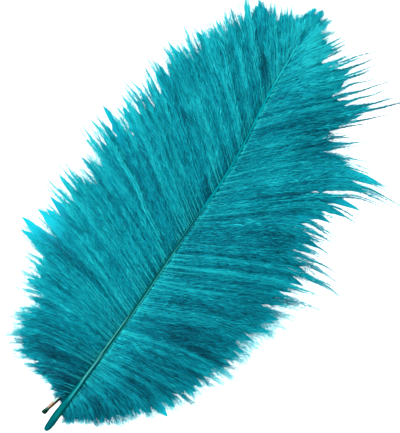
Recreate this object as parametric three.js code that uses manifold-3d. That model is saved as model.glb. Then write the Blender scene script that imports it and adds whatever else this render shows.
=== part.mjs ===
// An ostrich plume lying down: a quill and rachis grown as one shaft, a loose vane on each
// side of it, and a short side quill tucked in beside the quill.
// Millimetres, +Y from the quill to the plume's tip, +Z up, standing on Z = 0.

import * as THREE from 'three';
import Module from 'manifold-3d';
import { mergeVertices } from 'three/addons/utils/BufferGeometryUtils.js';

const wasm = await Module();
wasm.setup();

// Driving dimensions, in millimetres and radians. The last barbs pass the shaft's end by
// about 8 mm, so the whole feather is 299 mm long.
const SHAFT_LENGTH = 291;
const SHAFT_SIDES = 20;
const SHAFT_STEPS = 60;
const SHAFT_STEP_GROWTH = 1.35;
const GROOVE_DEPTH = 0.3;
const GROOVE_HALF_ANGLE = 0.5;
const GROOVE_START = 26;
const GROOVE_FULL = 60;
const VANE_STATIONS = 60;
const VANE_STEPS = 8;
const VANE_EDGE_THICKNESS = 1.2;
const VANE_ABOVE_SHAFT = 1.6;
const VANE_FALL = 1.5;
const TUFT_SHORTENING = 0.84;
const SIDE_QUILL_SIDES = 12;
const SIDE_QUILL_STEPS = 18;
const CLEARANCE = 0.3;
const WAY_CLEARANCE = 0.45;

// The shaft at each distance from the quill's end: sideways place, height of its axis, radius.
const SHAFT_TRACK = [
  [0, -0.4, 2.7, 1.0],
  [1, -0.4, 2.7, 1.6],
  [4, 0.0, 2.7, 2.2],
  [9, 0.1, 2.7, 2.4],
  [14, 0.4, 2.8, 2.35],
  [20, 0.8, 2.9, 2.1],
  [30, 1.5, 3.3, 1.75],
  [52, 3.0, 4.2, 1.4],
  [90, 4.7, 5.7, 1.05],
  [125, 5.2, 6.5, 0.95],
  [160, 5.9, 6.8, 0.85],
  [182, 6.6, 6.8, 0.8],
  [210, 5.0, 6.6, 0.75],
  [238, 1.8, 6.4, 0.7],
  [265, 0.4, 6.0, 0.6],
  [SHAFT_LENGTH, -1.0, 4.8, 0.3],
];

// The barbs at each distance of their root from the quill's end: their angle to the rachis in
// degrees at the root, half way along and at the tip, and their length.
const LEFT_BARBS = [
  [22, 100, 118, 150, 6],
  [33, 96, 110, 134, 24],
  [43, 90, 107, 130, 48],
  [50, 87, 104, 128, 56],
  [57, 84, 101, 125, 60],
  [63, 82, 97, 120, 63],
  [68, 78, 86, 103, 72],
  [76, 73, 77, 92, 81],
  [86, 69, 72, 86, 88],
  [97, 67, 69, 82, 97],
  [120, 64, 65, 76, 95],
  [138, 61, 60, 72, 98],
  [154, 57, 56, 71, 100],
  [170, 52, 53, 70, 99],
  [184, 50, 54, 67, 98],
  [198, 47, 54, 63, 91],
  [210, 44, 52, 56, 84],
  [220, 42, 49, 48, 76],
  [228, 40, 46, 42, 70],
  [237, 37, 43, 37, 64],
  [252, 31, 37, 30, 45],
  [267, 25, 28, 24, 26],
  [277, 22, 20, 16, 15],
  [290, 14, 10, 6, 8],
];
const RIGHT_BARBS = [
  [18, 135, 155, 168, 8],
  [26, 112, 132, 158, 18],
  [35, 98, 112, 140, 32],
  [45, 89, 97, 120, 46],
  [55, 83, 89, 108, 60],
  [65, 77, 82, 99, 68],
  [80, 70, 74, 90, 79],
  [95, 66, 69, 83, 88],
  [115, 65, 66, 77, 96],
  [135, 62, 62, 82, 106],
  [148, 58, 57, 86, 102],
  [158, 55, 54, 88, 106],
  [168, 50, 50, 85, 114],
  [179, 46, 46, 77, 104],
  [188, 44, 45, 68, 86],
  [198, 44, 46, 58, 74],
  [203, 44, 47, 48, 77],
  [208, 43, 47, 38, 88],
  [218, 41, 46, 28, 90],
  [228, 39, 44, 27, 72],
  [239, 35, 40, 29, 68],
  [256, 29, 33, 27, 46],
  [264, 26, 29, 25, 36],
  [279, 20, 20, 16, 20],
  [290, 12, 8, 5, 9],
];

// The side quill from its cut end to the end that lies against the shaft: the points of its
// axis, and its radius at each share of its length. It is pinched behind the cut end.
const SIDE_QUILL_POINTS = [
  [-7.2, 8.1, 1.9],
  [-6.3, 12.2, 1.9],
  [-4.8, 18.0, 1.9],
  [-2.5, 27.0, 1.9],
];
const SIDE_QUILL_RADII = [
  [0, 1.5],
  [0.1, 1.55],
  [0.19, 1.1],
  [0.32, 1.3],
  [1, 1.25],
];

// Smooth values between the rows of a list: each row is a position and what holds there.
function track(rows) {
  const positions = rows.map((row) => row[0]);
  const values = rows.flatMap((row) => row.slice(1));
  const curve = new THREE.CubicInterpolant(positions, values, rows[0].length - 1);
  return (at) => Array.from(curve.evaluate(at));
}

const shaftAt = track(SHAFT_TRACK);

// The faces between neighbouring sections, each a closed round of the same number of points.
function wallFaces(sectionCount, count) {
  const faces = [];
  for (let i = 0; i < sectionCount - 1; i += 1) {
    for (let j = 0; j < count; j += 1) {
      const a = i * count + j;
      const b = i * count + ((j + 1) % count);
      faces.push(a, b, b + count, a, b + count, a + count);
    }
  }
  return faces;
}

function meshOf(points, faces) {
  const geometry = new THREE.BufferGeometry().setFromPoints(points);
  geometry.setIndex(faces);
  return geometry;
}

// A closed body from rings, with a fan of faces on a point in the middle of each end.
function loftRings(rings) {
  const count = rings[0].length;
  const points = rings.flat();
  const faces = wallFaces(rings.length, count);
  const last = (rings.length - 1) * count;
  for (const [first, atEnd] of [[0, false], [last, true]]) {
    const centre = new THREE.Vector3();
    for (let j = 0; j < count; j += 1) {
      centre.add(points[first + j]);
    }
    points.push(centre.divideScalar(count));
    for (let j = 0; j < count; j += 1) {
      const a = first + j;
      const b = first + ((j + 1) % count);
      faces.push(...(atEnd ? [a, b, points.length - 1] : [b, a, points.length - 1]));
    }
  }
  return meshOf(points, faces);
}

// A closed body from flat sections whose points run out along the top and back underneath,
// with a strip of faces on each end.
function loftSlices(slices) {
  const count = slices[0].length;
  const faces = wallFaces(slices.length, count);
  const last = (slices.length - 1) * count;
  for (let j = 0; j < count / 2 - 1; j += 1) {
    const across = count - 1 - j;
    faces.push(j, across, j + 1);
    faces.push(across, across - 1, j + 1);
    faces.push(last + j, last + j + 1, last + across);
    faces.push(last + across, last + j + 1, last + across - 1);
  }
  return meshOf(slices.flat(), faces);
}

// Quill and rachis: round at the quill, with a shallow groove along the top of the rachis.
function shaftGeometry() {
  const rings = [];
  for (let i = 0; i <= SHAFT_STEPS; i += 1) {
    const along = SHAFT_LENGTH * (i / SHAFT_STEPS) ** SHAFT_STEP_GROWTH;
    const [x, z, radius] = shaftAt(along);
    const groove = GROOVE_DEPTH * THREE.MathUtils.smoothstep(along, GROOVE_START, GROOVE_FULL);
    const ring = [];
    for (let j = 0; j < SHAFT_SIDES; j += 1) {
      const turn = (-2 * Math.PI * j) / SHAFT_SIDES;
      const fromTop = Math.abs(turn + 1.5 * Math.PI);
      const reach = radius * (1 - groove * Math.exp(-((fromTop / GROOVE_HALF_ANGLE) ** 2)));
      ring.push(new THREE.Vector3(x + reach * Math.cos(turn), along, z + reach * Math.sin(turn)));
    }
    rings.push(ring);
  }
  return loftRings(rings);
}

// One barb's course from its root, bending through its three angles.
function barbCourse(rootY, takeOff, middle, tip, length, side) {
  const [rootX, , radius] = shaftAt(rootY);
  const step = length / VANE_STEPS;
  let x = rootX + side * (radius + CLEARANCE);
  let y = rootY;
  const course = [[x, y]];
  for (let j = 0; j < VANE_STEPS; j += 1) {
    const share = (j + 0.5) / VANE_STEPS;
    const degrees = takeOff * (1 - share) * (1 - 2 * share)
      + middle * 4 * share * (1 - share) + tip * share * (2 * share - 1);
    const angle = THREE.MathUtils.degToRad(degrees);
    x += side * Math.sin(angle) * step;
    y += Math.cos(angle) * step;
    course.push([x, y]);
  }
  return course;
}

// A vane: flat underneath, its top falling from the rachis to a thin edge, where every
// second slice ends short, as the tufts do.
function vaneGeometry(barbs, side) {
  const barbAt = track(barbs);
  const firstRoot = barbs[0][0];
  const lastRoot = barbs[barbs.length - 1][0];
  const slices = [];
  for (let i = 0; i <= VANE_STATIONS; i += 1) {
    const rootY = THREE.MathUtils.lerp(firstRoot, lastRoot, i / VANE_STATIONS);
    const [takeOff, middle, tip, length] = barbAt(rootY);
    const reach = length * (i % 2 ? 1 : TUFT_SHORTENING);
    const course = barbCourse(rootY, takeOff, middle, tip, reach, side);
    const ridge = shaftAt(rootY)[1] + VANE_ABOVE_SHAFT;
    const top = course.map(([x, y], j) => {
      const share = (1 - j / VANE_STEPS) ** VANE_FALL;
      return new THREE.Vector3(x, y, THREE.MathUtils.lerp(VANE_EDGE_THICKNESS, ridge, share));
    });
    const underside = course.map(([x, y]) => new THREE.Vector3(x, y, 0)).reverse();
    const slice = [...top, ...underside];
    slices.push(side > 0 ? slice : slice.reverse());
  }
  return loftSlices(slices);
}

// The side quill, or the same shape grown by a margin to cut a way for it.
function sideQuillGeometry(margin) {
  const axis = new THREE.CatmullRomCurve3(SIDE_QUILL_POINTS.map((p) => new THREE.Vector3(...p)));
  const radiusAt = track(SIDE_QUILL_RADII);
  const rings = [];
  for (let i = 0; i <= SIDE_QUILL_STEPS; i += 1) {
    const share = i / SIDE_QUILL_STEPS;
    const centre = axis.getPoint(share);
    const forward = axis.getTangent(share);
    const across = new THREE.Vector3(forward.y, -forward.x, 0).normalize();
    const up = new THREE.Vector3().crossVectors(across, forward);
    const radius = radiusAt(share)[0] + margin;
    const ring = [];
    for (let j = 0; j < SIDE_QUILL_SIDES; j += 1) {
      const turn = (-2 * Math.PI * j) / SIDE_QUILL_SIDES;
      const point = centre.clone().addScaledVector(across, radius * Math.cos(turn));
      ring.push(point.addScaledVector(up, radius * Math.sin(turn)));
    }
    rings.push(ring);
  }
  return loftRings(rings);
}

function toSolid(geometry) {
  const merged = mergeVertices(geometry);
  return new wasm.Manifold(new wasm.Mesh({
    numProp: 3,
    vertProperties: new Float32Array(merged.attributes.position.array),
    triVerts: new Uint32Array(merged.index.array),
  }));
}

// The left vane, with a way cut under it for the side quill.
function leftVaneGeometry() {
  const way = toSolid(sideQuillGeometry(WAY_CLEARANCE));
  const cut = toSolid(vaneGeometry(LEFT_BARBS, -1)).subtract(way).getMesh();
  const geometry = new THREE.BufferGeometry();
  geometry.setAttribute('position', new THREE.BufferAttribute(cut.vertProperties, 3));
  geometry.setIndex(new THREE.BufferAttribute(cut.triVerts, 1));
  return geometry;
}

function piece(name, geometry, colour, roughness) {
  geometry.computeVertexNormals();
  const material = new THREE.MeshStandardMaterial({ color: colour, roughness, metalness: 0 });
  const mesh = new THREE.Mesh(geometry, material);
  mesh.name = name;
  return mesh;
}

const feather = new THREE.Group();
feather.add(piece('shaft', shaftGeometry(), '#0b7f80', 0.4));
feather.add(piece('left_vane', leftVaneGeometry(), '#0aa0b0', 0.85));
feather.add(piece('right_vane', vaneGeometry(RIGHT_BARBS, 1), '#0aa0b0', 0.85));
feather.add(piece('side_quill', sideQuillGeometry(0), '#c9a27a', 0.45));

// The origin goes to the middle of the underside of the whole feather.
const box = new THREE.Box3().setFromObject(feather);
const middle = box.getCenter(new THREE.Vector3());
feather.position.set(-middle.x, -middle.y, -box.min.z);

export default feather;
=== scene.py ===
"""A dyed ostrich plume lying flat: its shaft, its side quill and its two rows of fluffy barbs."""

import math

import bpy
import numpy as np
from bpy.props import FloatProperty, FloatVectorProperty, PointerProperty
from mathutils import Matrix, Vector


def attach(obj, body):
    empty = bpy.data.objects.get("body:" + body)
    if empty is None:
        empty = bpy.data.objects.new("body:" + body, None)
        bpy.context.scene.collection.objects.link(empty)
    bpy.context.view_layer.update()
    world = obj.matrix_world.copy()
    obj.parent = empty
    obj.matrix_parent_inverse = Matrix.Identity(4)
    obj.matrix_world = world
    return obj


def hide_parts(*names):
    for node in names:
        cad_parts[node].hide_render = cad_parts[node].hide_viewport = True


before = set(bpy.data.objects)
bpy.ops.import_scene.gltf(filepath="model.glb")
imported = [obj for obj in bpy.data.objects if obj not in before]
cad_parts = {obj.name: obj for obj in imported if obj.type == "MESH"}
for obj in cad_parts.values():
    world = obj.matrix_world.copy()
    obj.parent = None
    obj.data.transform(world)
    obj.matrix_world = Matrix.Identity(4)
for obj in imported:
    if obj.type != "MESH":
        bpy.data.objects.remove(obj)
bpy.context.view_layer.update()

bl_info = {
    "name": "Ostrich Plume",
    "version": (1, 0, 0),
    "blender": (4, 5, 0),
    "location": "View3D > Sidebar > Plume",
    "description": "Builds a dyed ostrich plume from its shaft, its side quill and its barbs",
    "category": "Object",
}

MM = 0.001

# The picture's frame in pixels, and the place of the plume's quill end and tip in it.
PICTURE_WIDTH = 400
PICTURE_HEIGHT = 433
QUILL_END_PIXEL = (45.0, 431.0)
PLUME_TIP_PIXEL = (322.0, 6.0)
FEATHER_LENGTH = 300.0

# The shaft at each distance from the quill's end, in millimetres: sideways place, height of
# its axis, radius.
SHAFT_LENGTH = 291.0
SHAFT_TRACK = [
    (0, -0.4, 2.7, 1.0),
    (1, -0.4, 2.7, 1.6),
    (4, 0.0, 2.7, 2.2),
    (9, 0.1, 2.7, 2.4),
    (14, 0.4, 2.8, 2.35),
    (20, 0.8, 2.9, 2.1),
    (30, 1.5, 3.3, 1.75),
    (52, 3.0, 4.2, 1.4),
    (90, 4.7, 5.7, 1.05),
    (125, 5.2, 6.5, 0.95),
    (160, 5.9, 6.8, 0.85),
    (182, 6.6, 6.8, 0.8),
    (210, 5.0, 6.6, 0.75),
    (238, 1.8, 6.4, 0.7),
    (265, 0.4, 6.0, 0.6),
    (SHAFT_LENGTH, -1.0, 4.8, 0.3),
]

# The way the barbs run, at each distance of their root from the quill's end: the angle to the
# rachis in degrees at the root, half way along and at the tip.
LEFT_ANGLES = [
    (22, 100, 118, 150),
    (33, 96, 110, 134),
    (43, 90, 107, 130),
    (50, 87, 104, 128),
    (57, 84, 101, 125),
    (63, 82, 97, 120),
    (68, 78, 86, 103),
    (76, 73, 77, 92),
    (86, 69, 72, 86),
    (97, 67, 69, 82),
    (120, 64, 65, 76),
    (138, 61, 60, 72),
    (154, 57, 56, 71),
    (170, 52, 53, 70),
    (184, 50, 54, 67),
    (198, 47, 54, 63),
    (210, 44, 52, 56),
    (220, 42, 49, 48),
    (228, 40, 46, 42),
    (237, 37, 43, 37),
    (252, 31, 37, 30),
    (267, 25, 28, 24),
    (277, 22, 20, 16),
    (290, 14, 10, 6),
]
RIGHT_ANGLES = [
    (18, 135, 155, 168),
    (26, 112, 132, 158),
    (35, 98, 112, 140),
    (45, 89, 97, 120),
    (55, 83, 89, 108),
    (65, 77, 82, 99),
    (80, 70, 74, 90),
    (95, 66, 69, 83),
    (115, 65, 66, 77),
    (135, 62, 62, 75),
    (148, 58, 57, 77),
    (158, 55, 54, 78),
    (168, 50, 50, 77),
    (179, 46, 46, 74),
    (188, 44, 45, 68),
    (198, 44, 46, 58),
    (203, 44, 47, 48),
    (208, 43, 47, 38),
    (218, 41, 46, 28),
    (228, 39, 44, 27),
    (239, 35, 40, 29),
    (256, 29, 33, 27),
    (264, 26, 29, 25),
    (279, 20, 20, 16),
    (290, 12, 8, 5),
]

# The length of the barbs in millimetres, at each distance of their root from the quill's end.
LEFT_LENGTHS = [
    (22, 5), (28, 12), (34, 27), (40, 47), (46, 53), (52, 58), (58, 61), (63, 61), (67, 73),
    (72, 75), (77, 84), (84, 86), (88, 91), (95, 97), (102, 104), (108, 94), (113, 98), (118, 96),
    (124, 104), (130, 111), (136, 98), (142, 105), (148, 107), (155, 99), (160, 103), (166, 112),
    (170, 103), (176, 102), (181, 105), (186, 102), (192, 95), (198, 91), (204, 90), (211, 84),
    (218, 82), (226, 76), (234, 67), (241, 67), (248, 55), (254, 44), (260, 37), (267, 26),
    (275, 17), (283, 12), (290, 8),
]
RIGHT_LENGTHS = [
    (18, 8), (26, 17), (35, 32), (45, 46), (51, 56), (60, 65), (70, 70), (80, 79), (90, 84),
    (100, 95), (110, 95), (120, 99), (130, 108), (137, 107), (144, 99), (148, 97), (156, 103),
    (162, 116), (166, 127), (171, 130), (175, 115), (178, 111), (183, 103), (187, 81), (191, 90),
    (195, 77), (200, 71), (204, 78), (210, 105), (215, 113), (219, 99), (222, 98), (226, 79),
    (231, 80), (237, 84), (242, 73), (246, 57), (249, 47), (255, 50), (261, 45), (265, 32),
    (270, 31), (277, 20), (284, 15), (290, 9),
]
RAGGED_EDGE = 0.06      # the share of its length by which a tuft is longer or shorter
LONGEST_BARB = 128.0

# How many times more barbs spring from the shaft, at each distance from the quill's end. Where
# the vane fans out there are more, so that their tips stay close.
LEFT_CROWD = [(22, 1.0), (42, 1.2), (52, 2.5), (74, 2.5), (90, 1.0), (290, 1.0)]
RIGHT_CROWD = [(18, 1.9), (44, 1.8), (90, 1.5), (115, 1.0), (290, 1.0)]
LEFT_SEED = 11
RIGHT_SEED = 23

# Soft patches of painted shade where the plume is deeper in tone, or of painted light where
# the depth is below zero: sideways place and place along in millimetres, half length, half
# width, turn of the length from the sideways direction in degrees, depth.
SHADE_AND_LIGHT_PATCHES = [
    (-25, 49, 20, 10, -10, 0.18),
    (-18, 41, 5, 2.5, 0, 0.12),
    (-4, 31, 5.5, 8, 0, 0.26),
    (-34, 94, 17, 3.5, -15, 0.12),
    (-45, 82, 18, 20, 0, 0.08),
    (-56, 45, 12, 14, 0, -0.07),
    (-28, 200, 9, 1.6, -16, 0.34),
    (-8, 249, 11, 1.6, -48, 0.38),
    (-30, 262, 9, 7, 0, 0.05),
    (-45, 224, 12, 14, 0, 0.10),
    (20, 28, 12, 8, 20, 0.08),
    (28, 54, 12, 7, 0, 0.14),
    (42, 90, 15, 11, 10, 0.13),
    (60, 142, 20, 28, 0, 0.08),
    (52, 163, 8, 4, 20, 0.20),
    (46, 190, 12, 4, 40, 0.12),
    (36, 212, 3.5, 3, 0, 0.12),
    (38, 229, 15, 18, 0, 0.12),
    (11, 62, 6, 22, 0, -0.04),
    (32, 195, 8, 14, 0, -0.05),
    (72, 226, 11, 13, 0, -0.12),
    (34, 272, 15, 15, 0, -0.08),
    (9, 276, 16, 19, 0, -0.28),
    (-1, 264, 9, 20, 0, -0.10),
]

# The short quill beside the shaft, at each distance along the plume in millimetres from the
# quill's end: sideways place, height of its axis, radius.
SIDE_QUILL_TRACK = [
    (7.9, -7.2, 1.9, 1.45),
    (8.2, -7.1, 1.9, 1.6),
    (10.0, -6.8, 1.9, 1.6),
    (10.8, -6.6, 1.9, 1.35),
    (11.8, -6.4, 1.9, 1.15),
    (14.0, -5.8, 1.9, 1.3),
    (18.0, -4.8, 1.9, 1.4),
    (27.0, -2.5, 1.9, 1.3),
]


def rgb(code):
    """The linear colour of an sRGB hex code."""
    parts = [int(code[i:i + 2], 16) / 255 for i in (1, 3, 5)]
    return tuple(p / 12.92 if p <= 0.04045 else ((p + 0.055) / 1.055) ** 2.4 for p in parts)


def track(rows):
    """A function of place that gives smooth values between the rows of a list."""
    table = np.array(rows, float)
    places, values = table[:, 0], table[:, 1:]
    slopes = np.gradient(values, places, axis=0)

    def at(place):
        place = np.clip(place, places[0], places[-1])
        i = np.clip(np.searchsorted(places, place, side="right") - 1, 0, len(places) - 2)
        span = (places[i + 1] - places[i])[..., None]
        t = (place - places[i])[..., None] / span
        start = values[i] * (2 * t**3 - 3 * t**2 + 1) + slopes[i] * span * (t**3 - 2 * t**2 + t)
        end = values[i + 1] * (3 * t**2 - 2 * t**3) + slopes[i + 1] * span * (t**3 - t**2)
        return start + end

    return at


def smoothstep(low, high, value):
    t = np.clip((value - low) / (high - low), 0, 1)
    return t * t * (3 - 2 * t)


shaft_at = track(SHAFT_TRACK)


def frame_origin():
    """The quill's end on the surface below it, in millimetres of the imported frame."""
    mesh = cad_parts["shaft"].data
    co = np.array([v.co for v in mesh.vertices]) / MM
    end = co[co[:, 1] < co[:, 1].min() + 0.01]
    x = (end[:, 0].min() + end[:, 0].max()) / 2 - SHAFT_TRACK[0][1]
    return np.array([x, co[:, 1].min(), 0.0])


ORIGIN = frame_origin()


# Barbs and barbules -------------------------------------------------------------------------

COURSE_STEPS = 28
STREAK_KNOTS = 18
STREAK_SPREAD = 0.55
LOWEST_FIBRE = 0.12     # how far over the surface the lowest fibre lies, in millimetres
LOWEST_BARB = 0.6
CREST_HEIGHT = 5.0      # how far the barbs rise over the line from the shaft to the edge
HANG_BACK = 21.0        # degrees by which the long tips on the right hang back to the quill
CLOSEST_CLING = 0.92
BARBULE_TONE = 0.468    # the middle of the tone that the map gives a barbule
# The tone of the dark ribbons under the barbs, which are painted shade.
SHADE_RIBBON_TONE = 0.22
LIGHT_ROD, DEEP_ROD = 0.93, 0.06
LIGHT_ROD_SHARE = 0.55
UP = np.array([0.0, 0.0, 1.0])
TWO_TRIANGLES = np.array([[0, 1, 2], [1, 3, 2]])

# The under layer, beside the top one: how far apart its barbs are, how wild they are, and how
# many, how long and how wide its barbules are.
UNDER_SPACING = 1.4
UNDER_WILD = 0.2
UNDER_BARBULES = 0.55
UNDER_BARBULE_LENGTH = 1.1
UNDER_BARBULE_WIDTH = 1.3


def unit(v):
    return v / np.maximum(np.linalg.norm(v, axis=-1, keepdims=True), 1e-9)


def tuft_noise(rng, tuft, spread):
    """One random value for each tuft, given to all the barbs in it."""
    return rng.normal(0, spread, tuft[-1] + 1)[tuft]


class Barbs:
    """The courses of one vane's barbs, in millimetres from the quill's end."""

    def __init__(self, angles, lengths, side, spacing, rng, wild, reach):
        first, last = angles[0][0], angles[-1][0]
        crowd = LEFT_CROWD if side < 0 else RIGHT_CROWD
        place = np.linspace(first, last, 1000)
        grown = np.cumsum(np.interp(place, *np.array(crowd).T)) * (place[1] - place[0]) / spacing
        count = int(grown[-1])
        root = np.interp(np.arange(count) + 0.5, grown, place)
        root = root + np.clip(rng.normal(0, 0.2 * spacing, count), -0.25 * spacing, 0.25 * spacing)
        self.root = np.clip(np.sort(root), first, last)
        self.side = side
        members = rng.integers(1, 5 if side < 0 else 7, count)
        self.tuft = np.repeat(np.arange(count), members)[:count]
        # High on the right the long tips stand apart in pairs, like the teeth of a comb.
        self.comb = smoothstep(192, 208, self.root) * smoothstep(262, 245, self.root) * (side > 0)
        rank = np.arange(count) - np.searchsorted(self.tuft, self.tuft)
        pairs = self.tuft * 8 + np.where(self.comb > 0.3, rank // 2, 0)
        self.tuft = np.unique(pairs, return_inverse=True)[1]

        length = track(lengths)(self.root)[:, 0]
        length = length * reach(self.root)
        # Low on the right the edge is short and fluffy; elsewhere it runs out in thin tufts.
        if side < 0:
            self.fluffy = 0.6 * smoothstep(110, 70, self.root)
        else:
            self.fluffy = smoothstep(130, 90, self.root)
        ragged = RAGGED_EDGE * (0.75 if side < 0 else 1.0) * (1 - 0.4 * self.fluffy)
        length = length * (1 + wild * ragged * np.clip(tuft_noise(rng, self.tuft, 1.0), -2.0, 1.5))
        length = length - np.abs(rng.normal(0, 3.5 * wild, count)) * smoothstep(0, 60, length)
        stray = rng.random(count) < (0.22 if side < 0 else 0.16 - 0.06 * self.fluffy) * wild
        longer = rng.uniform(0.08, 0.27, count) * (1 - smoothstep(85, 112, length))
        self.length = np.minimum(length * (1 + longer * stray), LONGEST_BARB)
        self.bare = np.where(stray, rng.uniform(0.70, 0.82, count), rng.uniform(0.94, 1.0, count))
        # How far the fluff goes out along the barb, how much shorter it is at the tip, and how
        # closely the barbs of a tuft cling together.
        if side < 0:
            self.dense = 0.76 - 0.12 * smoothstep(238, 255, self.root)
            self.thin_end = 0.90
            self.cling = 0.6 * (0.3 + 0.7 * smoothstep(40, 90, self.root))
        else:
            self.thin_end = 0.97
            self.dense = 0.66 - 0.18 * smoothstep(195, 212, self.root) + 0.16 * self.fluffy
            long_tips = smoothstep(150, 162, self.root) * smoothstep(192, 178, self.root)
            self.dense = self.dense - 0.08 * long_tips
            self.cling = 1 - 0.8 * self.fluffy
        self.thin = (0.35 + 0.48 * smoothstep(15, 50, self.length)) * (1 - 0.8 * self.fluffy)
        self.thin = self.thin + 0.10 * self.comb
        self.dense = self.dense - 0.08 * self.comb
        # The streaks run a barb higher or lower and, with the same values, paint it lighter or
        # deeper: painted light and shade.
        slow = np.repeat(rng.normal(0, STREAK_SPREAD, (count, STREAK_KNOTS // 4 + 1)), 4, axis=1)
        self.streak = slow[:, :STREAK_KNOTS] + rng.normal(0, STREAK_SPREAD, (count, STREAK_KNOTS))
        self.tone = tuft_noise(rng, self.tuft, 0.015) + rng.normal(0, 0.06, count)

        x, y = self.plan(track(angles)(self.root), wild, rng)
        self.points = self.gather(np.stack([x, y, self.heights(wild, rng)], axis=2), wild, rng)

    def plan(self, angles, wild, rng):
        """The courses seen from above: each bends through its three angles and sways."""
        count = len(self.root)
        share = (np.arange(COURSE_STEPS) + 0.5) / COURSE_STEPS
        take_off = angles[:, 0] + rng.normal(0, 1.2 * wild, count)
        middle = angles[:, 1] + rng.normal(0, 1.5 * wild, count)
        tuft_turn = 4.0 * wild * (1 - 0.6 * self.fluffy) * tuft_noise(rng, self.tuft, 1.0)
        tip = angles[:, 2] + tuft_turn + rng.normal(0, 4.0 * wild, count)
        angle = take_off[:, None] * (1 - share) * (1 - 2 * share)
        angle = angle + middle[:, None] * 4 * share * (1 - share)
        angle = angle + tip[:, None] * share * (2 * share - 1)
        for low, high, degrees in ((0.8, 2.2, 4.0), (3.0, 6.0, 5.0)):
            waves = rng.uniform(low, high, (count, 1))
            phase = rng.uniform(0, 1, (count, 1))
            sway = rng.normal(0, degrees, (count, 1)) * np.sin(2 * np.pi * (waves * share + phase))
            angle = angle + wild * sway * smoothstep(0, 0.3, share)
        # The long tips half way up on the right hang back towards the quill.
        if self.side > 0:
            hang = HANG_BACK * smoothstep(108, 132, self.root) * smoothstep(188, 172, self.root)
            hang = hang * (1 + 0.3 * wild * tuft_noise(rng, self.tuft, 1.0))
            angle = angle + hang[:, None] * smoothstep(0.5, 0.9, share)
        angle = np.radians(angle)
        step = (self.length / COURSE_STEPS)[:, None]
        shaft = shaft_at(self.root)
        zero = np.zeros((count, 1))
        x = shaft[:, 0] + self.side * 0.8 * shaft[:, 2]
        x = x[:, None] + self.side * np.hstack([zero, np.cumsum(np.sin(angle) * step, axis=1)])
        y = self.root[:, None] + np.hstack([zero, np.cumsum(np.cos(angle) * step, axis=1)])
        return x, y

    def gather(self, points, wild, rng):
        """The barbs of a tuft cling together along their way, and more so towards their tips."""
        share = np.arange(COURSE_STEPS + 1) / COURSE_STEPS
        tufts = self.tuft[-1] + 1
        members = np.bincount(self.tuft)[self.tuft][:, None, None]
        total = np.zeros((tufts, COURSE_STEPS + 1, 3))
        np.add.at(total, self.tuft, points)
        cling = rng.uniform(0.15, 0.45, tufts)[:, None] * smoothstep(0.05, 0.25, share)
        tips = 1.0 if self.side > 0 else 0.4
        pull = tips * rng.uniform(0.1, 0.45, tufts)[self.tuft] + 0.25 * self.comb
        comb = self.comb[:, None]
        closing = pull[:, None] * smoothstep(0.6 - 0.2 * comb, 1.0 - 0.25 * comb, share[None, :])
        cling = wild * self.cling[:, None] * np.minimum(cling[self.tuft] + closing, CLOSEST_CLING)
        return points + (total[self.tuft] / members - points) * cling[:, :, None]

    def heights(self, wild, rng):
        """The barbs rise from the shaft to a crest and droop to the edge of the plume."""
        count = len(self.root)
        share = np.arange(COURSE_STEPS + 1) / COURSE_STEPS
        axis_height = shaft_at(self.root)[:, 1]
        size = smoothstep(0, 60, self.length)
        crest = CREST_HEIGHT + wild * (tuft_noise(rng, self.tuft, 0.6) + rng.normal(0, 0.5, count))
        edge = LOWEST_BARB + wild * rng.uniform(0, 1.0, self.tuft[-1] + 1)[self.tuft]
        fall = smoothstep(0.3, 1.0, share)
        z = axis_height[:, None] * (1 - fall) + edge[:, None] * fall
        rise = 0.75 + 0.45 * smoothstep(222, 250, self.root)
        z = z + (crest * size)[:, None] * np.sin(np.pi * share[None, :] ** rise[:, None])
        ripple = self.streak_at(np.arange(count)[:, None], share[None, :])
        z = z + 0.4 * wild * ripple * np.sin(np.pi * share) ** 0.7
        return np.maximum(z, LOWEST_BARB)

    def streak_at(self, barb, share):
        """How high a barb runs at a share of its length, and how much painted light or shade it
        gets, about 0.
        """
        place = np.clip(share, 0, 0.9999) * (STREAK_KNOTS - 1)
        i = place.astype(int)
        t = place - i
        t = t * t * (3 - 2 * t)
        return self.streak[barb, i] * (1 - t) + self.streak[barb, i + 1] * t

    def at(self, barb, share):
        """Point and direction at a share of a barb's length."""
        place = np.clip(share, 0, 0.9999) * COURSE_STEPS
        i = place.astype(int)
        t = (place - i)[:, None]
        start, end = self.points[barb, i], self.points[barb, i + 1]
        before = self.points[barb, np.maximum(i - 1, 0)]
        after = self.points[barb, np.minimum(i + 2, COURSE_STEPS)]
        forward = unit((end - before) * (1 - t) + (after - start) * t)
        return start * (1 - t) + end * t, forward


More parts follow.
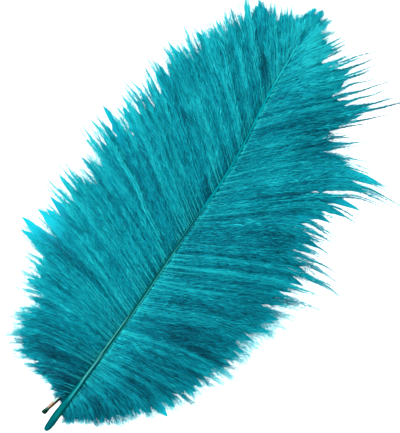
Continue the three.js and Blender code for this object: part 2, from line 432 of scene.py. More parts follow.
def zone_tone(side, root, share, points):
    """Painted shade deeper low on the plume, beside the shaft and in its patches; painted light by
    the shaft and at the barbs' tips.
    """
    inner = smoothstep(0.97, 0.8, share)
    gap = side * (points[:, 0] - shaft_at(points[:, 1])[:, 0])
    if side < 0:
        # Painted shade low on the left and in a band beside the shaft; painted light beside the
        # upper shaft and at the tips.
        deep = 0.15 * smoothstep(85, 45, root)
        beside = 0.5 * smoothstep(95, 120, root) + 0.5 * smoothstep(125, 145, root)
        beside = beside * smoothstep(225, 200, root)
        deep = deep + 0.14 * smoothstep(0.12, 0.0, share) * beside
        deep = deep - 0.10 * smoothstep(0.14, 0.0, share) * smoothstep(215, 235, root)
        tip_light = 0.08 + 0.05 * smoothstep(70, 95, root) * smoothstep(215, 190, root)
    else:
        # Painted shade low on the right; painted light near the shaft, where its shadow falls, and
        # at the tips.
        deep = 0.14 * smoothstep(125, 75, root) * smoothstep(0.06, 0.3, share)
        deep = deep + 0.02 * smoothstep(200, 170, root) + 0.03
        lit_root = smoothstep(0.12, 0.0, share) * smoothstep(30, 60, root)
        deep = deep - 0.10 * lit_root * smoothstep(150, 100, root)
        lit_line = smoothstep(3.0, 1.0, gap) * smoothstep(30, 60, root)
        deep = deep - 0.24 * lit_line * smoothstep(270, 235, root)
        tip_light = 0.12 * smoothstep(125, 85, root) - 0.06 * smoothstep(80, 50, root)
    # Painted shade in the patches, or painted light where the depth is below zero.
    for x, y, long, wide, turn, depth in SHADE_AND_LIGHT_PATCHES:
        across, along = points[:, 0] - x, points[:, 1] - y
        cos, sin = math.cos(math.radians(turn)), math.sin(math.radians(turn))
        u, v = (across * cos + along * sin) / long, (along * cos - across * sin) / wide
        deep = deep + depth * np.exp(-u**2 - v**2)
    start = 0.58 if side < 0 else 0.72
    return (0.25 + tip_light) * smoothstep(start, 0.97, share) - deep * inner


def barbules(barbs, per_mm, reach, width, clinging_share, shade, rng):
    """Kite-shaped fibres all round every barb: points, faces, UV and the barb of each."""
    counts = np.maximum((barbs.length * per_mm).astype(int), 1)
    barb = np.repeat(np.arange(len(counts)), counts)
    n = len(barb)
    share = rng.uniform(0.0, 1.0, n)
    keep = rng.random(n) > 0.6 * smoothstep(0.75, 1.0, share)
    barb, share = barb[keep], share[keep]
    n = len(barb)
    tip_ward = smoothstep(0.8, 1.0, share)
    bare = barbs.bare[barb]
    share = bare * share
    point, forward = barbs.at(barb, share)
    across = unit(np.cross(UP, forward))
    lift = np.cross(forward, across)
    across = across * rng.choice([-1.0, 1.0], n)[:, None]

    grown = 0.45 + 0.55 * smoothstep(0.0, 0.16, share)
    thinner = smoothstep(barbs.dense[barb], barbs.thin_end, share / bare)
    grown = grown * (1 - barbs.thin[barb] * thinner)
    long = reach * grown * rng.uniform(0.5, 1.25, n)
    roll = np.radians(rng.uniform(-35, 45, n) + 35 * smoothstep(0.05, 0.3, share) * rng.random(n))
    clinging = rng.random(n) < clinging_share
    open_1 = np.where(clinging, rng.normal(13, 7, n), rng.normal(33, 13, n)) + 8 * tip_ward
    open_2 = np.where(clinging, rng.normal(3, 5, n), rng.normal(10, 9, n)) + 10 * tip_ward
    spread = 14 * barbs.fluffy[barb] * smoothstep(0.6, 0.95, share)
    open_1, open_2 = np.radians(open_1 + spread), np.radians(open_2 + spread)
    outward = across * np.cos(roll)[:, None] + lift * np.sin(roll)[:, None]
    way_1 = forward * np.cos(open_1)[:, None] + outward * np.sin(open_1)[:, None]
    way_2 = forward * np.cos(open_2)[:, None] + outward * np.sin(open_2)[:, None]
    way_2[:, 2] -= 0.12
    way_2 = unit(way_2)
    turn = np.radians(rng.normal(0, 35, n))[:, None]
    flat = unit(np.cross(way_1, UP))
    wide = flat * np.cos(turn) + np.cross(way_1, flat) * np.sin(turn)
    wide = wide * (width * rng.uniform(0.6, 1.4, n) * (1 - 0.35 * tip_ward) / 2)[:, None]

    middle = point + way_1 * (long * 0.45)[:, None]
    end = middle + way_2 * (long * 0.55)[:, None]
    corners = np.stack([point, middle + wide, middle - wide, end], 1)
    corners[:, :, 2] = np.maximum(corners[:, :, 2], LOWEST_FIBRE)

    # The tone holds painted shade and light: the under barbules deeper, the streaks deeper or
    # lighter with the barb's height, fibres turned up lighter and the zones' painted shade and
    # light; the rest differs at random.
    streak = barbs.streak_at(barb, share)
    tone = BARBULE_TONE + shade * (1 - smoothstep(0.5, 0.85, share)) + barbs.tone[barb]
    tone = tone + 0.08 * streak * (1 - 0.6 * tip_ward)
    tone = tone + 0.14 * np.sin(roll) + zone_tone(barbs.side, barbs.root[barb], share, point)
    tone = tone + rng.normal(0, 0.13, n)
    tone = np.clip(tone, 0.02, 0.84)
    u = tone[:, None] + np.array([0.0, 0.0, 0.004, 0.002])
    v = 0.02 + 0.9 * share[:, None] + np.array([0.0, 0.03, 0.03, 0.06])
    faces = (np.arange(n) * 4)[:, None, None] + TWO_TRIANGLES
    return corners.reshape(-1, 3), faces.reshape(-1, 3), np.stack([u, v], 2).reshape(-1, 2), barb


def shade_ribbons(barbs, width, rng):
    """A ragged dark ribbon under every barb: a sheet of painted shade under its barbules."""
    count = len(barbs.root)
    end = rng.uniform(0.74, 0.87, (count, 1)) + 0.10 * barbs.fluffy[:, None]
    way = np.linspace(0, 1, COURSE_STEPS + 1)
    share = (way[None, :] * end).ravel()
    barb = np.repeat(np.arange(count), COURSE_STEPS + 1)
    point, forward = barbs.at(barb, share)
    point[:, 0] -= barbs.side * 1.4 * smoothstep(0.06, 0.0, share)
    across = unit(np.cross(UP, forward))
    tilt = np.repeat(np.radians(rng.normal(0, 14, count)), COURSE_STEPS + 1)[:, None]
    across = across * np.cos(tilt) + UP * np.sin(tilt)
    taper = np.clip((1 - way) / 0.25, 0, 1) ** 0.7 * (1 + 0.4 * smoothstep(0.1, 0.5, way))
    half = width / 2 * np.tile(taper, count) + 0.02
    left = point + across * (half * rng.uniform(0.75, 1.25, len(barb)))[:, None]
    right = point - across * (half * rng.uniform(0.75, 1.25, len(barb)))[:, None]
    corners = np.stack([left, right], 1)
    drop = 0.9 + 1.6 * smoothstep(0.16, 0.0, share)[:, None]
    corners[:, :, 2] = np.maximum(corners[:, :, 2] - drop, LOWEST_FIBRE)

    base = np.arange(count)[:, None] * (COURSE_STEPS + 1) * 2 + np.arange(COURSE_STEPS) * 2
    faces = base[:, :, None, None] + TWO_TRIANGLES
    # Painted shade: the ribbons are dark, with painted light near the shaft and towards their ends.
    root_light = 0.18 if barbs.side < 0 else 0.26
    tone = SHADE_RIBBON_TONE + 0.05 * barbs.streak_at(barb, share) + root_light * smoothstep(0.2, 0.0, share)
    tone = tone + 0.5 * zone_tone(barbs.side, barbs.root[barb], share, point)
    tone = np.clip(tone + 0.3 * smoothstep(0.5, 0.8, share), 0.04, 0.6)
    u = tone[:, None] + np.array([0.0, 0.02])
    v = np.repeat((0.02 + 0.9 * share)[:, None], 2, axis=1)
    owner = np.repeat(np.arange(count), COURSE_STEPS * 2)
    return corners.reshape(-1, 3), faces.reshape(-1, 3), np.stack([u, v], 2).reshape(-1, 2), owner


def rami(barbs, thick, rng):
    """A thin three-sided tapering rod along the middle of every barb."""
    picks = np.arange(0, COURSE_STEPS + 1, 2)
    points = barbs.points[:, picks].copy()
    n, rings = points.shape[:2]
    share = picks / COURSE_STEPS
    points[:, :, 2] += 0.35 + 0.35 * smoothstep(0.1, 0.3, share) * smoothstep(0.95, 0.7, share)
    forward = unit(np.gradient(points, axis=1))
    side = unit(np.cross(UP, forward))
    top = np.cross(forward, side)
    radius = thick / 2 * (1 - share) ** 0.8 + 0.05
    angles = np.radians([90, 210, 330])
    ring = points[:, :, None] + radius[None, :, None, None] * (
        np.cos(angles)[None, None, :, None] * side[:, :, None]
        + np.sin(angles)[None, None, :, None] * top[:, :, None]
    )
    base = (np.arange(n) * rings * 3)[:, None, None] + (np.arange(rings - 1) * 3)[None, :, None]
    faces = []
    for a in range(3):
        b = (a + 1) % 3
        faces.append(np.concatenate([base + a, base + b, base + 3 + b], 2))
        faces.append(np.concatenate([base + a, base + 3 + b, base + 3 + a], 2))
    faces = np.stack(faces, 2).reshape(-1, 3)
    light = rng.random((n, 1, 1)) < LIGHT_ROD_SHARE
    tone = np.where(light, LIGHT_ROD, DEEP_ROD) + rng.uniform(0, 0.05, (n, 1, 1))
    tone = tone + np.array([0.0, 0.005, 0.01])
    u = np.broadcast_to(tone, (n, rings, 3))
    v = np.broadcast_to((0.01 + 0.97 * share)[None, :, None], (n, rings, 3))
    owner = np.repeat(np.arange(n), len(faces) // n)
    return ring.reshape(-1, 3), faces, np.stack([u, v], 3).reshape(-1, 2), owner


def mesh_from(name, points, faces, uv):
    """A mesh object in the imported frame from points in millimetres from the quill's end."""
    used = np.unique(faces)
    renumber = np.zeros(len(points), np.int32)
    renumber[used] = np.arange(len(used), dtype=np.int32)
    points, uv, faces = points[used], uv[used], renumber[faces]
    mesh = bpy.data.meshes.new(name)
    mesh.vertices.add(len(points))
    mesh.vertices.foreach_set("co", ((points + ORIGIN) * MM).astype(np.float32).ravel())
    mesh.loops.add(faces.size)
    mesh.loops.foreach_set("vertex_index", faces.astype(np.int32).ravel())
    mesh.polygons.add(len(faces))
    mesh.polygons.foreach_set("loop_start", np.arange(0, faces.size, 3, dtype=np.int32))
    layer = mesh.uv_layers.new(name="OFBake")
    layer.data.foreach_set("uv", uv[faces.ravel()].astype(np.float32).ravel())
    mesh.update(calc_edges=True)
    piece = bpy.data.objects.new(name, mesh)
    bpy.context.scene.collection.objects.link(piece)
    return piece


def full_reach(root):
    """The top barbs have their whole length."""
    return np.ones(len(root))


def left_under_reach(root):
    """The share of its length that a barb of the left under layer has."""
    return np.full(len(root), 0.95)


def right_under_reach(root):
    """The share of its length that a barb of the right under layer has."""
    return 0.92 - 0.16 * smoothstep(195, 212, root)


def build_vane(name, angles, lengths, side, node, settings, seed):
    """One vane, in three joined meshes from its lower, middle and upper barbs."""
    rng = np.random.default_rng(seed)
    spacing = settings.barb_spacing / MM
    top = Barbs(angles, lengths, side, spacing, rng, wild=1.0, reach=full_reach)
    under = Barbs(angles, lengths, side, spacing * UNDER_SPACING, rng, wild=UNDER_WILD,
                  reach=left_under_reach if side < 0 else right_under_reach)
    reach, width = settings.barbule_length / MM, settings.barbule_width / MM
    per_mm = settings.barbules_per_mm
    layers = [
        (top, *barbules(top, per_mm, reach, width, 0.68, 0.0, rng)),
        (top, *rami(top, settings.ramus_width / MM, rng)),
        # The under barbules are painted deeper in tone, as painted shade.
        (under, *barbules(under, per_mm * UNDER_BARBULES, reach * UNDER_BARBULE_LENGTH,
                          width * UNDER_BARBULE_WIDTH, 0.2, -0.08, rng)),
        (under, *shade_ribbons(under, settings.shade_ribbon_width / MM, rng)),
    ]
    offset, points, faces, uvs, roots = 0, [], [], [], []
    for barbs, p, f, t, barb in layers:
        points.append(p)
        faces.append(f + offset)
        uvs.append(t)
        roots.append(np.repeat(barbs.root[barb], len(f) // len(barb)))
        offset += len(p)
    points, faces, uvs = np.concatenate(points), np.concatenate(faces), np.concatenate(uvs)
    roots = np.concatenate(roots)
    cuts = np.quantile(roots, [1 / 3, 2 / 3])
    material = barb_material(settings)
    for label, low, high in (
        ("lower", -math.inf, cuts[0]), ("middle", cuts[0], cuts[1]), ("upper", cuts[1], math.inf),
    ):
        piece = mesh_from(f"{name}_{label}", points, faces[(roots > low) & (roots <= high)], uvs)
        piece.data.materials.append(material)
        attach(piece, "root")
        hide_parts(node)


# Shaft and side quill -----------------------------------------------------------------------

def swept_rod(name, places, at, sides, groove):
    """A closed rod: a circle with a groove in its top is extruded from place to place."""
    bpy.ops.object.select_all(action="DESELECT")
    rows = at(places)
    centres = [Vector(ORIGIN + np.array([x, y, z])) * MM for y, (x, z, radius) in zip(places, rows)]
    radii = rows[:, 2]
    bpy.ops.mesh.primitive_circle_add(
        vertices=sides, radius=radii[0] * MM, location=centres[0], rotation=(math.pi / 2, 0, 0))
    piece = bpy.context.object
    piece.name = piece.data.name = name
    bpy.ops.object.transform_apply(location=True, rotation=True, scale=True)
    bpy.ops.object.mode_set(mode="EDIT")
    bpy.ops.mesh.select_all(action="DESELECT")
    bpy.ops.object.mode_set(mode="OBJECT")
    top = max(v.co.z for v in piece.data.vertices)
    for vertex in piece.data.vertices:
        vertex.select = vertex.co.z > top - 1e-6
    bpy.ops.object.mode_set(mode="EDIT")
    bpy.ops.mesh.select_mode(type="VERT")
    bpy.ops.transform.translate(value=(0, 0, -groove * radii[0] * MM))
    bpy.ops.mesh.select_all(action="SELECT")
    for i in range(1, len(centres)):
        bpy.ops.mesh.extrude_region_move(
            TRANSFORM_OT_translate={"value": centres[i] - centres[i - 1]})
        bpy.ops.transform.resize(value=[radii[i] / radii[i - 1]] * 3, center_override=centres[i])
    bpy.ops.mesh.select_all(action="DESELECT")
    bpy.ops.mesh.select_non_manifold()
    bpy.ops.mesh.edge_face_add()
    bpy.ops.mesh.select_all(action="SELECT")
    bpy.ops.mesh.normals_make_consistent(inside=False)
    bpy.ops.object.mode_set(mode="OBJECT")
    return piece


def map_rod(piece, places, at):
    """A map of the rod: across it from left to right, and along it from end to end."""
    mesh = piece.data
    points = np.empty(len(mesh.vertices) * 3, np.float32)
    mesh.vertices.foreach_get("co", points)
    points = points.reshape(-1, 3) / MM - ORIGIN
    rows = at(points[:, 1])
    across = 0.5 + 0.5 * (points[:, 0] - rows[:, 0]) / rows[:, 2]
    along = (points[:, 1] - places[0]) / (places[-1] - places[0])
    corners = np.empty(len(mesh.loops), np.int32)
    mesh.loops.foreach_get("vertex_index", corners)
    layer = mesh.uv_layers.new(name="Rod")
    uv = np.clip(np.stack([across, along], 1), 0, 1)[corners]
    layer.data.foreach_set("uv", uv.astype(np.float32).ravel())
    mesh.uv_layers.active = layer


def build_shaft(settings):
    places = np.linspace(0, 1, 70) ** 1.25 * SHAFT_LENGTH
    piece = swept_rod("plume_shaft", places, shaft_at, 16, 0.35)
    finish_rod(piece, places, shaft_at, "shaft", shaft_material())


def build_side_quill(settings):
    places = np.array([row[0] for row in SIDE_QUILL_TRACK])
    at = track(SIDE_QUILL_TRACK)
    piece = swept_rod("broken_side_quill", places, at, 12, 0.1)
    finish_rod(piece, places, at, "side_quill", quill_material())


def finish_rod(piece, places, at, node, material):
    bpy.context.view_layer.objects.active = piece
    smooth = piece.modifiers.new("smooth", "SUBSURF")
    smooth.levels = smooth.render_levels = 1
    bpy.ops.object.modifier_apply(modifier=smooth.name)
    bpy.ops.object.shade_smooth()
    map_rod(piece, places, at)
    piece.data.materials.append(material)
    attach(piece, "root")
    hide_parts(node)


# Materials ----------------------------------------------------------------------------------

# The fibres of keratin run along a quill. They are drawn coarser than they are, so that they
# show.
ROD_STREAKS_ACROSS = 12.0
ROD_STREAKS_ALONG = 30.0
LIGHT_ROD_MAP = 0.9     # past this place on the barbs' map the colour is a light rod's
BARB_ROUGHNESS = 0.6
ROD_ROUGHNESS = 0.45


def add(tree, kind, x, y, settings=None, links=None):
    """Adds a node with its settings, and its inputs' values or the sockets they are linked to."""
    node = tree.nodes.new(kind)
    node.location = (x, y)
    for key, value in (settings or {}).items():
        setattr(node, key, value)
    for key, value in (links or {}).items():
        if isinstance(value, bpy.types.NodeSocket):
            tree.links.new(value, node.inputs[key])
        else:
            node.inputs[key].default_value = value
    return node


def ramp(node, stops):
    """Sets a colour ramp's stops from places and linear colours."""
    elements = node.color_ramp.elements
    while len(elements) > 1:
        elements.remove(elements[-1])
    elements[0].position = stops[0][0]
    elements[0].color = (*stops[0][1], 1)
    for place, colour in stops[1:]:
        elements.new(place).color = (*colour, 1)
    return node


def hex_ramp(node, stops):
    """Sets a colour ramp's stops from places and hex codes."""
    return ramp(node, [(place, rgb(code)) for place, code in stops])


def new_material(name):
    material = bpy.data.materials.new(name)
    material.use_nodes = True
    tree = material.node_tree
    tree.nodes.clear()
    shader = add(tree, "ShaderNodeBsdfPrincipled", 400, 0)
    add(tree, "ShaderNodeOutputMaterial", 700, 0, links={"Surface": shader.outputs["BSDF"]})
    return material, tree, shader


def barb_material(settings):
    """Keratin barbs dyed in the bath: a matt teal, with painted shade deep between the fibres and
    painted light on those that stand out. The map's first axis runs from deep to light, its
    second along."""
    name = "dyed ostrich barbs"
    if name in bpy.data.materials:
        return bpy.data.materials[name]
    material, tree, shader = new_material(name)
    uv = add(tree, "ShaderNodeUVMap", -1200, 0, {"uv_map": "OFBake"})
    split = add(tree, "ShaderNodeSeparateXYZ", -1000, 0, links={"Vector": uv.outputs["UV"]})
    tone = ramp(add(tree, "ShaderNodeValToRGB", -600, 200, links={"Fac": split.outputs["X"]}), [
        (0.0, settings.dye_in_deepest_shade), (0.2, settings.dye_in_shade), (0.45, settings.dye_middle),
        (0.65, settings.dye_in_light), (0.85, settings.dye_in_brightest_light),
    ])
    rod = hex_ramp(add(tree, "ShaderNodeValToRGB", -600, -100, links={"Fac": split.outputs["Y"]}), [
        (0.0, "#28B0AC"), (0.25, "#18A8B0"), (0.8, "#089098"), (1.0, "#00606A"),
    ])
    is_rod = add(tree, "ShaderNodeMath", -600, 450, {"operation": "GREATER_THAN"},
                 {0: split.outputs["X"], 1: LIGHT_ROD_MAP})
    mix = add(tree, "ShaderNodeMix", -200, 100, {"data_type": "RGBA"}, {
        "Factor": is_rod.outputs[0], 6: tone.outputs["Color"], 7: rod.outputs["Color"],
    })
    tree.links.new(mix.outputs[2], shader.inputs["Base Color"])
    shader.inputs["Roughness"].default_value = BARB_ROUGHNESS
    shader.inputs["Specular IOR Level"].default_value = 0.05
    return material


def rod_material(name, zones):
    """A material for a rod from its map. Each zone is its first place along the rod, the length
    over which it takes over from the one before, and the colours across it from left to right."""
    material, tree, shader = new_material(name)
    uv = add(tree, "ShaderNodeUVMap", -1700, 0, {"uv_map": "Rod"})
    split = add(tree, "ShaderNodeSeparateXYZ", -1500, 0, links={"Vector": uv.outputs["UV"]})
    stretch = add(tree, "ShaderNodeMapping", -1500, -300, links={
        "Vector": uv.outputs["UV"], "Scale": (ROD_STREAKS_ACROSS, ROD_STREAKS_ALONG, 1.0),
    })
    streaks = add(tree, "ShaderNodeTexNoise", -1300, -300, links={
        "Vector": stretch.outputs["Vector"], "Scale": 1.0, "Detail": 3.0,
    })
    shift = add(tree, "ShaderNodeMapRange", -1300, 100, links={
        "Value": streaks.outputs["Fac"], "To Min": -0.12, "To Max": 0.12,
    })
    across = add(tree, "ShaderNodeMath", -1100, 0, {"operation": "ADD"}, {
        0: split.outputs["X"], 1: shift.outputs["Result"],
    })
    colour = None
    for i, (start, length, stops) in enumerate(zones):
        here = hex_ramp(add(tree, "ShaderNodeValToRGB", -900, 300 - 250 * i,
                            links={"Fac": across.outputs[0]}), stops)
        if colour is None:
            colour = here.outputs["Color"]
            continue
        smooth = {"interpolation_type": "SMOOTHSTEP"}
        fade = add(tree, "ShaderNodeMapRange", -600, 300 - 250 * i, smooth, {
            "Value": split.outputs["Y"], "From Min": start, "From Max": start + length,
        })
        mix = add(tree, "ShaderNodeMix", -300, 300 - 250 * i, {"data_type": "RGBA"}, {
            "Factor": fade.outputs["Result"], 6: colour, 7: here.outputs["Color"],
        })
        colour = mix.outputs[2]
    bump = add(tree, "ShaderNodeBump", 100, -300, links={
        "Height": streaks.outputs["Fac"], "Strength": 0.35, "Distance": 0.1 * MM,
    })
    tree.links.new(colour, shader.inputs["Base Color"])
    tree.links.new(bump.outputs["Normal"], shader.inputs["Normal"])
    shader.inputs["Roughness"].default_value = ROD_ROUGHNESS
    shader.inputs["Specular IOR Level"].default_value = 0.0
    return material


def shaft_material():
    """Keratin dyed through: deep teal where the quill is thick and the light teal of the barbs near
    the tip. Across it are painted light and shade: a pale painted highlight line, a deep green
    groove of painted shade along the shaft, darker painted shade at the quill's edges, and painted
    light near the tip where the barbs shade it."""
    return rod_material("dyed keratin shaft", [
        (0.0, 0.0, [
            (0.0, "#002E36"), (0.2, "#004C52"), (0.45, "#00525A"), (0.6, "#00474E"),
            (0.8, "#00444A"), (1.0, "#003038"),
        ]),
        (0.022, 0.02, [
            (0.0, "#00343A"), (0.18, "#004D50"), (0.3, "#005C5E"), (0.5, "#066566"),
            (0.61, "#005A5C"), (0.72, "#004746"), (0.85, "#00473F"), (1.0, "#003838"),
        ]),
        (0.046, 0.012, [
            (0.0, "#003A40"), (0.2, "#00555A"), (0.3, "#005E62"), (0.5, "#00585D"),
            (0.7, "#005056"), (1.0, "#003C44"),
        ]),
        (0.07, 0.02, [
            (0.0, "#003A42"), (0.21, "#004F55"), (0.36, "#005A60"), (0.46, "#248989"),
            (0.56, "#248989"), (0.66, "#085E64"), (0.8, "#004D55"), (1.0, "#003A44"),
        ]),
        (0.115, 0.02, [
            (0.0, "#004E50"), (0.2, "#045856"), (0.34, "#3C8C8C"), (0.46, "#3C8C8C"),
            (0.58, "#064F54"), (0.8, "#004046"), (1.0, "#004A50"),
        ]),
        (0.175, 0.03, [
            (0.0, "#186C6A"), (0.06, "#388C8A"), (0.24, "#388C8A"), (0.34, "#003E3C"),
            (0.7, "#003836"), (0.84, "#187C80"), (1.0, "#2CA4AA"),
        ]),
        (0.265, 0.04, [
            (0.0, "#0F6866"), (0.14, "#0A5856"), (0.24, "#00383A"), (0.56, "#00383A"),
            (0.72, "#1A7C7C"), (1.0, "#38A8A8"),
        ]),
        (0.44, 0.05, [
            (0.0, "#187A80"), (0.16, "#127078"), (0.3, "#003A40"), (0.68, "#003A40"),
            (0.84, "#147880"), (1.0, "#2CA0A4"),
        ]),
        (0.53, 0.04, [
            (0.0, "#005F6A"), (0.3, "#006C77"), (0.55, "#00757D"), (1.0, "#008089"),
        ]),
        (0.73, 0.06, [
            (0.0, "#007A86"), (0.5, "#008A93"), (1.0, "#008890"),
        ]),
        (0.83, 0.04, [
            (0.0, "#008793"), (0.45, "#199BA4"), (1.0, "#008996"),
        ]),
        (0.9, 0.03, [
            (0.0, "#0095A2"), (0.45, "#22BAC4"), (1.0, "#009AA6"),
        ]),
    ])


def quill_material():
    """Keratin that the dye hardly reached: a dark cut end, a cream middle with thin brown edges, and
    painted highlights: lighter streaks on the dark end and a pale green stripe towards the barbs.
    """
    return rod_material("pale keratin quill", [
        (0.0, 0.0, [
            (0.0, "#082018"), (0.3, "#12342A"), (0.6, "#041A14"), (1.0, "#020E0A"),
        ]),
        (0.13, 0.05, [
            (0.0, "#1C4034"), (0.35, "#2E584A"), (0.7, "#0C3026"), (1.0, "#061E18"),
        ]),
        (0.2, 0.08, [
            (0.0, "#3A3428"), (0.12, "#66523E"), (0.24, "#A8927C"), (0.4, "#A8927C"),
            (0.48, "#5E422C"), (0.56, "#1C0E06"), (0.66, "#24120A"), (0.8, "#6A4E38"),
            (1.0, "#2C2018"),
        ]),
        (0.45, 0.08, [
            (0.0, "#3E6A62"), (0.2, "#9CC4B8"), (0.38, "#9CC4B8"), (0.48, "#3A4A40"),
            (0.6, "#140A06"), (0.75, "#1C100A"), (1.0, "#283028"),
        ]),
        (0.66, 0.12, [
            (0.0, "#083438"), (0.5, "#144E4C"), (1.0, "#00242A"),
        ]),
    ])


# Stage --------------------------------------------------------------------------------------

def picture_axes():
    """The feather's two directions in the picture, and the millimetres in a pixel."""
    run = PLUME_TIP_PIXEL[0] - QUILL_END_PIXEL[0]
    rise = PLUME_TIP_PIXEL[1] - QUILL_END_PIXEL[1]
    length = math.hypot(run, rise)
    along = (run / length, rise / length)
    return along, (-along[1], along[0]), FEATHER_LENGTH / length


def picture_to_frame(px, py):
    """The place on the surface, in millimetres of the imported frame, seen at a picture point."""
    dx, dy = px - QUILL_END_PIXEL[0], py - QUILL_END_PIXEL[1]
    along, across, scale = picture_axes()
    x = (dx * across[0] + dy * across[1]) * scale
    y = (dx * along[0] + dy * along[1]) * scale
    return ORIGIN[0] + x, ORIGIN[1] + y


def build_stage(settings):
    bpy.ops.object.select_all(action="DESELECT")
    bpy.ops.mesh.primitive_plane_add(size=6, location=(0, 0, 0))
    floor = bpy.context.object
    floor.name = "floor"
    material, _, shader = new_material("plain white floor")
    shader.inputs["Base Color"].default_value = (*settings.table_colour, 1)
    shader.inputs["Roughness"].default_value = 0.9
    shader.inputs["Emission Color"].default_value = (1, 1, 1, 1)
    shader.inputs["Emission Strength"].default_value = settings.table_glow
    floor.data.materials.append(material)

    along, across, scale = picture_axes()
    x, y = picture_to_frame((PICTURE_WIDTH - 1) / 2, (PICTURE_HEIGHT - 1) / 2)
    lean = math.atan2(along[0], -along[1])
    target = Vector((x * MM, y * MM, 0.005))
    distance = settings.camera_distance
    camera = bpy.data.cameras.new("camera")
    camera.sensor_width = 36
    half_height = PICTURE_HEIGHT / 2 * scale * MM
    camera.lens = camera.sensor_width / 2 * distance / half_height
    camera.clip_end = 20
    eye = bpy.data.objects.new("camera", camera)
    eye.location = target + Vector((0, 0, distance))
    eye.rotation_euler = (0, 0, lean)
    bpy.context.scene.collection.objects.link(eye)
    bpy.context.scene.camera = eye

    turn = Matrix.Rotation(lean, 3, "Z")
    for name, from_way, size, power in (
        ("key light", (-0.75, 0.45, 0.95), 0.5, settings.key_power),
        ("fill light", (0.9, -0.3, 1.2), 1.2, settings.fill_power),
    ):
        lamp = bpy.data.lights.new(name, "AREA")
        lamp.shape = "DISK"
        lamp.size = size
        lamp.energy = power
        ob = bpy.data.objects.new(name, lamp)
        way = turn @ Vector(from_way)
        ob.location = target + way
        ob.rotation_mode = "QUATERNION"
        ob.rotation_quaternion = (-way).to_track_quat("-Z", "Y")
        bpy.context.scene.collection.objects.link(ob)

    world = bpy.data.worlds.new("studio")
    world.use_nodes = True
    back = world.node_tree.nodes["Background"]
    back.inputs["Color"].default_value = (1, 1, 1, 1)
    back.inputs["Strength"].default_value = settings.ambient
    bpy.context.scene.world = world
    bpy.context.scene.view_settings.view_transform = "Standard"


# Add-on -------------------------------------------------------------------------------------

class PlumeSettings(bpy.types.PropertyGroup):
    barb_spacing: FloatProperty(
        name="Barb spacing", description="Distance between neighbouring barbs on the rachis",
        default=1.9 * MM, subtype="DISTANCE", unit="LENGTH")
    barbules_per_mm: FloatProperty(
        name="Barbules per mm", description="Barbules on each millimetre of a barb", default=15.2)
    barbule_length: FloatProperty(
        name="Barbule length", description="Length of a full-grown barbule",
        default=5.0 * MM, subtype="DISTANCE", unit="LENGTH")
    barbule_width: FloatProperty(
        name="Barbule width", description="Width of a barbule at its middle",
        default=0.16 * MM, subtype="DISTANCE", unit="LENGTH")
    # The dark ribbons under the barbs are painted shade.
    shade_ribbon_width: FloatProperty(
        name="Shade ribbon width", description="Width of the dense down along a barb",
        default=5.3 * MM, subtype="DISTANCE", unit="LENGTH")
    ramus_width: FloatProperty(
        name="Barb width", description="Width of a barb's rod at its root",
        default=0.3 * MM, subtype="DISTANCE", unit="LENGTH")
    # The dye's colours from deep to light; the deeper and lighter ones carry painted shade and
    # painted light.
    dye_in_deepest_shade: FloatVectorProperty(
        name="Darkest dye", description="Colour of the dye in the deepest places between the barbs",
        default=rgb("#002E3E"), subtype="COLOR", min=0.0, max=1.0)
    dye_in_shade: FloatVectorProperty(
        name="Dark dye", description="Colour of the dye on the barbules that lie low",
        default=rgb("#005468"), subtype="COLOR", min=0.0, max=1.0)
    dye_middle: FloatVectorProperty(
        name="Middle dye", description="Colour of the dye on most barbules",
        default=rgb("#00889A"), subtype="COLOR", min=0.0, max=1.0)
    dye_in_light: FloatVectorProperty(
        name="Light dye", description="Colour of the dye on the barbules that stand out",
        default=rgb("#06A4B2"), subtype="COLOR", min=0.0, max=1.0)
    dye_in_brightest_light: FloatVectorProperty(
        name="Lightest dye", description="Colour of the dye at the tips of the barbs",
        default=rgb("#22C6CE"), subtype="COLOR", min=0.0, max=1.0)
    table_colour: FloatVectorProperty(
        name="Table colour", description="Colour of the floor under the feather",
        default=rgb("#D8D8D8"), subtype="COLOR", min=0.0, max=1.0)
    camera_distance: FloatProperty(
        name="Camera distance", description="Height of the camera over the feather",
        default=1.5, subtype="DISTANCE", unit="LENGTH")
    key_power: FloatProperty(name="Key light", description="Power of the key light", default=17.0,
                             subtype="POWER")
    fill_power: FloatProperty(name="Fill light", description="Power of the fill light", default=3.0,
                              subtype="POWER")
    table_glow: FloatProperty(
        name="Table glow", description="Strength of the floor's own light", default=0.85)
    ambient: FloatProperty(name="Ambient", description="Strength of the light from all round",
                           default=1.2)


class PLUME_OT_shaft(bpy.types.Operator):
    """Makes the shaft"""
    bl_idname = "plume.shaft"
    bl_label = "Shaft"

    def execute(self, context):
        build_shaft(context.scene.plume)
        return {"FINISHED"}


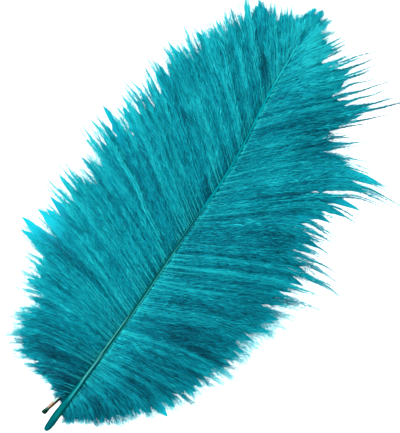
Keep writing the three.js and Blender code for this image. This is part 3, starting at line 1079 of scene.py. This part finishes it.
class PLUME_OT_side_quill(bpy.types.Operator):
    """Makes the short quill beside the shaft"""
    bl_idname = "plume.side_quill"
    bl_label = "Side quill"

    def execute(self, context):
        build_side_quill(context.scene.plume)
        return {"FINISHED"}


class PLUME_OT_left_vane(bpy.types.Operator):
    """Grows the left row of barbs"""
    bl_idname = "plume.left_vane"
    bl_label = "Left vane"

    def execute(self, context):
        build_vane("left_barbs", LEFT_ANGLES, LEFT_LENGTHS, -1, "left_vane",
                   context.scene.plume, LEFT_SEED)
        return {"FINISHED"}


class PLUME_OT_right_vane(bpy.types.Operator):
    """Grows the right row of barbs"""
    bl_idname = "plume.right_vane"
    bl_label = "Right vane"

    def execute(self, context):
        build_vane("right_barbs", RIGHT_ANGLES, RIGHT_LENGTHS, 1, "right_vane",
                   context.scene.plume, RIGHT_SEED)
        return {"FINISHED"}


class PLUME_OT_stage(bpy.types.Operator):
    """Sets up the floor, the lights and the camera"""
    bl_idname = "plume.stage"
    bl_label = "Stage"

    def execute(self, context):
        build_stage(context.scene.plume)
        return {"FINISHED"}


class PLUME_PT_panel(bpy.types.Panel):
    """Lists the plume's pieces and settings"""
    bl_idname = "PLUME_PT_panel"
    bl_label = "Ostrich plume"
    bl_space_type = "VIEW_3D"
    bl_region_type = "UI"
    bl_category = "Plume"

    def draw(self, context):
        for name in context.scene.plume.bl_rna.properties.keys():
            if name not in ("rna_type", "name"):
                self.layout.prop(context.scene.plume, name)
        for operator in OPERATORS:
            self.layout.operator(operator.bl_idname)


OPERATORS = (
    PLUME_OT_shaft, PLUME_OT_side_quill, PLUME_OT_left_vane, PLUME_OT_right_vane, PLUME_OT_stage,
)
CLASSES = (PlumeSettings, *OPERATORS, PLUME_PT_panel)


def register():
    for cls in CLASSES:
        bpy.utils.register_class(cls)
    bpy.types.Scene.plume = PointerProperty(type=PlumeSettings)


def unregister():
    del bpy.types.Scene.plume
    for cls in reversed(CLASSES):
        bpy.utils.unregister_class(cls)


def main():
    register()
    bpy.ops.plume.shaft()
    bpy.ops.plume.side_quill()
    bpy.ops.plume.left_vane()
    bpy.ops.plume.right_vane()
    bpy.ops.plume.stage()


if __name__ == "__main__":
    main()
